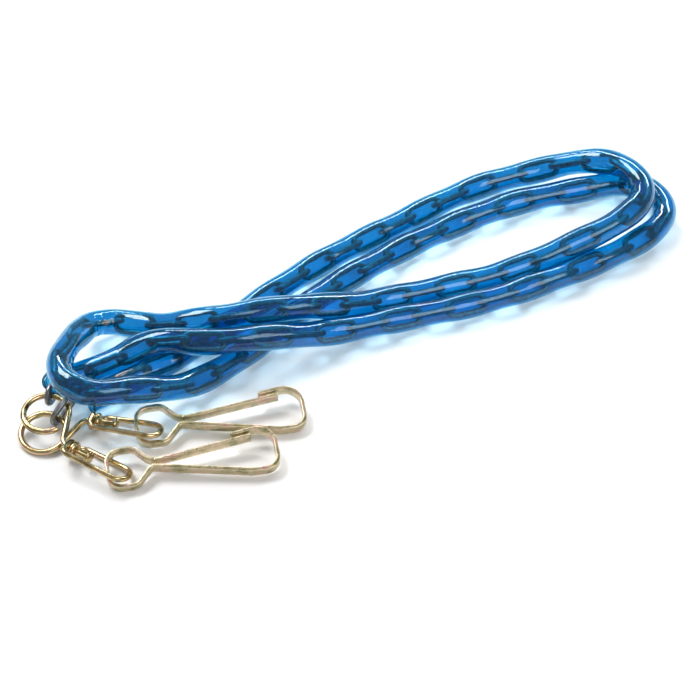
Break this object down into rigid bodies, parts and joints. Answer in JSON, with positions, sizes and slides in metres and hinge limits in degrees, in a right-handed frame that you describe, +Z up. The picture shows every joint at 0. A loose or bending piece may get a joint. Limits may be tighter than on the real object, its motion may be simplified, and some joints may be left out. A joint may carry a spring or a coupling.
{
  "type": "safety chain with snap hooks",
  "caption": "Welded steel safety chain in a translucent blue sleeve, with a swivelling wire eye and a flat-strip snap hook at each end.",
  "frame": {"origin": "under the middle of the metal fittings, on the plane that the laid part rests on", "axes": "+X from the chain ends along the folded strands and the hooks, +Y towards the far fold, +Z up"},
  "size_m": [0.226, 0.1595, 0.0215],
  "materials": {
    "blue_sleeve": "clear blue flexible PVC, glossy",
    "chain_steel": "zinc plated, bright",
    "yellow_wire": "yellow chromated zinc plate, glossy",
    "yellow_strip": "yellow chromated zinc plate, glossy, with green and pink tints"
  },
  "bodies": {
    "chain": {"sleeve": "blue_sleeve", "chain_links_01": "chain_steel", "chain_links_02": "chain_steel", "chain_links_03": "chain_steel", "chain_links_04": "chain_steel", "chain_links_05": "chain_steel", "chain_links_06": "chain_steel", "chain_links_07": "chain_steel", "chain_links_08": "chain_steel", "upper_end_link": "chain_steel", "lower_end_link": "chain_steel"},
    "upper_ring_eye": {"upper_ring_eye": "yellow_wire"},
    "upper_swivel_loop": {"upper_swivel_loop": "yellow_wire"},
    "upper_snap_hook": {"upper_snap_hook": "yellow_strip"},
    "upper_gate": {"upper_gate": "yellow_strip"},
    "lower_ring_eye": {"lower_ring_eye": "yellow_wire"},
    "lower_swivel_loop": {"lower_swivel_loop": "yellow_wire"},
    "lower_snap_hook": {"lower_snap_hook": "yellow_strip"},
    "lower_gate": {"lower_gate": "yellow_strip"}
  },
  "joints": [
    {"name": "upper_ring_swing", "type": "hinge", "parent": "chain", "child": "upper_ring_eye", "pos_m": [-0.03443, 0.00899, 0.00386], "axis": [1, 0, 0], "range_deg": [0, 45]},
    {"name": "upper_swivel", "type": "hinge", "parent": "upper_ring_eye", "child": "upper_swivel_loop", "pos_m": [-0.0218, 0.0068, 0.00395], "axis": [-0.9781, 0.2079, 0], "range_deg": [-2, 100]},
    {"name": "upper_hook_swing", "type": "hinge", "parent": "upper_swivel_loop", "child": "upper_snap_hook", "pos_m": [-0.00607, 0.00346, 0.00419], "axis": [0.03, 0.9988, 0.04], "range_deg": [-3, 75]},
    {"name": "upper_gate_press", "type": "hinge", "parent": "upper_snap_hook", "child": "upper_gate", "pos_m": [0.00596, 0.00727, 0.00399], "axis": [-0.0406, 0.2213, -0.9744], "range_deg": [0, 16], "stiffness_Nm_per_rad": 0.05, "springref_deg": -1.15},
    {"name": "lower_ring_swing", "type": "hinge", "parent": "chain", "child": "lower_ring_eye", "pos_m": [-0.03727, 0.01601, 0.00676], "axis": [-0.7684, 0.6387, -0.0399], "range_deg": [0, 60]},
    {"name": "lower_swivel", "type": "hinge", "parent": "lower_ring_eye", "child": "lower_swivel_loop", "pos_m": [-0.0286, -0.0059, 0.00435], "axis": [0.849, -0.5264, -0.0454], "continuous": true},
    {"name": "lower_hook_swing", "type": "hinge", "parent": "lower_swivel_loop", "child": "lower_snap_hook", "pos_m": [-0.01507, -0.01541, 0.00224], "axis": [0.2695, -0.9184, -0.2895], "range_deg": [-12, 70]},
    {"name": "lower_gate_press", "type": "hinge", "parent": "lower_snap_hook", "child": "lower_gate", "pos_m": [-0.00247, -0.01145, 0.00366], "axis": [-0.0209, 0.2266, -0.9738], "range_deg": [0, 16], "stiffness_Nm_per_rad": 0.05, "springref_deg": -1.15}
  ]
}
